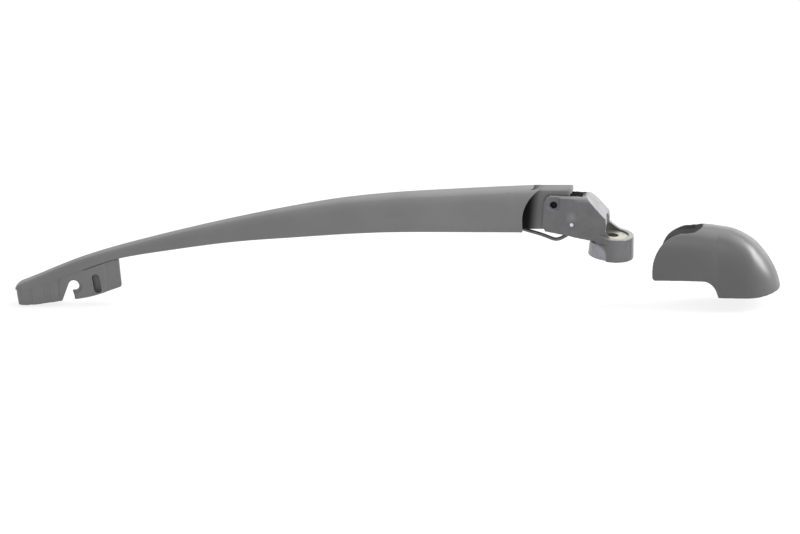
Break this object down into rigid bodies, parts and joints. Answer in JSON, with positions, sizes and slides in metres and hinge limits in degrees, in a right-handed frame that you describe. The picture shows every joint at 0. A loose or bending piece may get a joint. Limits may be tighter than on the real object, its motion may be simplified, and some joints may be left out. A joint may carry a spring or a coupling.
{
  "type": "wiper arm",
  "caption": "Rear window wiper arm: tapering channel arm on a hinged mounting head, tension spring inside, blade clip under the tip and a cover cap taken off the spindle boss.",
  "frame": {"origin": "centre of the spindle bore at the foot of the boss, the face turned to the car", "axes": "+Z along the spindle, away from the car; the arm reaches towards -X; Y is across the arm"},
  "size_m": [0.4173, 0.032, 0.1055],
  "materials": {
    "arm_plastic": "satin dark grey with a fine grain",
    "cap_plastic": "satin dark grey",
    "head_casting": "cast light alloy with a dark coating, semi-gloss",
    "insert_metal": "bare, slightly yellow",
    "pin_steel": "plain",
    "spring_steel": "dark, phosphated"
  },
  "bodies": {
    "head": {"mounting_head": "head_casting", "spindle_insert": "insert_metal", "hinge_pin": "pin_steel", "hook_pin": "pin_steel", "spindle_cap": "cap_plastic"},
    "arm": {"arm_shell": "arm_plastic", "blade_clip": "arm_plastic", "anchor_pin": "pin_steel"},
    "link": {"spring_hook": "spring_steel", "tension_spring": "spring_steel"}
  },
  "joints": [
    {"name": "arm_hinge", "type": "hinge", "parent": "head", "child": "arm", "pos_m": [-0.0328, 0, 0.027], "axis": [0, 1, 0], "range_deg": [0, 60], "stiffness_Nm_per_rad": 1, "springref_deg": -68.75},
    {"name": "link_swing", "type": "hinge", "parent": "head", "child": "link", "pos_m": [-0.02202, 0, 0.01712], "axis": [0, 1, 0], "range_deg": [0, 53], "deforming": ["tension_spring"]}
  ],
  "couplings": [
    {"joint": "link_swing", "follows": "arm_hinge", "ratio": 0.865}
  ]
}
